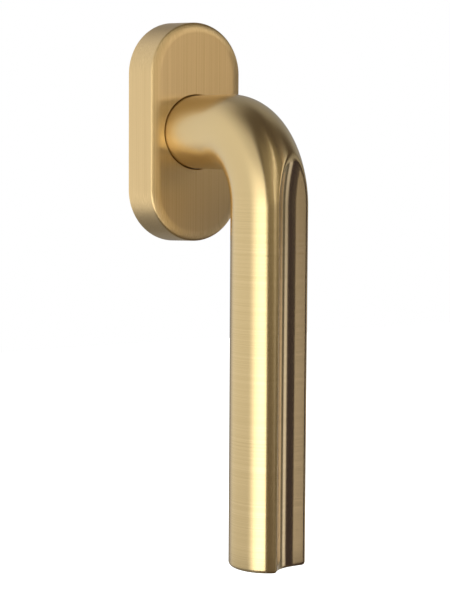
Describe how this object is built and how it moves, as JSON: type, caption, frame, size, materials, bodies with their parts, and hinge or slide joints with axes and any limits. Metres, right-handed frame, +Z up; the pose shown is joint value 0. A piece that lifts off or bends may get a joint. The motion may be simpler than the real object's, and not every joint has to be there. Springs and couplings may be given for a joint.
{
  "type": "window handle",
  "caption": "L-shaped brass window handle with a round neck, bend and faceted grip on an oblong rosette, with detent, square spindle, locating lugs and fixing screws.",
  "frame": {"origin": "the neck's turning axis at the sash plane, midway between the two locating lugs", "axes": "+Y into the sash, so the handle stands out towards -Y; +Z up along the rosette with the lever hanging down at rest; +X to the right of someone facing the handle"},
  "size_m": [0.032, 0.0849, 0.1575],
  "materials": {
    "lever_brass": "satin brushed round the grip, lacquered",
    "rosette_brass": "satin brushed upright on the face, lacquered",
    "zinc_casting": "die-cast zinc, left bare",
    "plated_steel": "bright zinc plating",
    "spring_steel": "rolled spring steel, tempered",
    "dark_nylon": "moulded nylon, dark brown",
    "pale_nylon": "moulded nylon, natural"
  },
  "bodies": {
    "base": {"base_plate": "zinc_casting", "journal_bush": "pale_nylon", "wave_washer": "spring_steel", "keeper_plate": "plated_steel", "keeper_screw_upper": "plated_steel", "keeper_screw_lower": "plated_steel", "detent_spring_left": "spring_steel", "detent_spring_right": "spring_steel", "cover_clip_upper": "spring_steel", "cover_clip_lower": "spring_steel", "fixing_screw_upper": "plated_steel", "fixing_screw_lower": "plated_steel"},
    "lever": {"lever": "lever_brass", "square_spindle": "plated_steel", "spindle_pin": "plated_steel", "detent_cam": "plated_steel", "thrust_washer": "plated_steel", "retaining_ring": "spring_steel"},
    "cover": {"rosette_cover": "rosette_brass", "cover_guide_ring": "dark_nylon"}
  },
  "joints": [
    {"name": "lever_turn", "type": "hinge", "parent": "base", "child": "lever", "pos_m": [0, 0, 0], "axis": [0, 1, 0], "range_deg": [-180, 180], "deforming": ["detent_spring_left", "detent_spring_right"]},
    {"name": "cover_slide", "type": "slide", "parent": "base", "child": "cover", "axis": [0, -1, 0], "range_m": [0, 0.018], "deforming": ["cover_clip_upper", "cover_clip_lower"]}
  ]
}
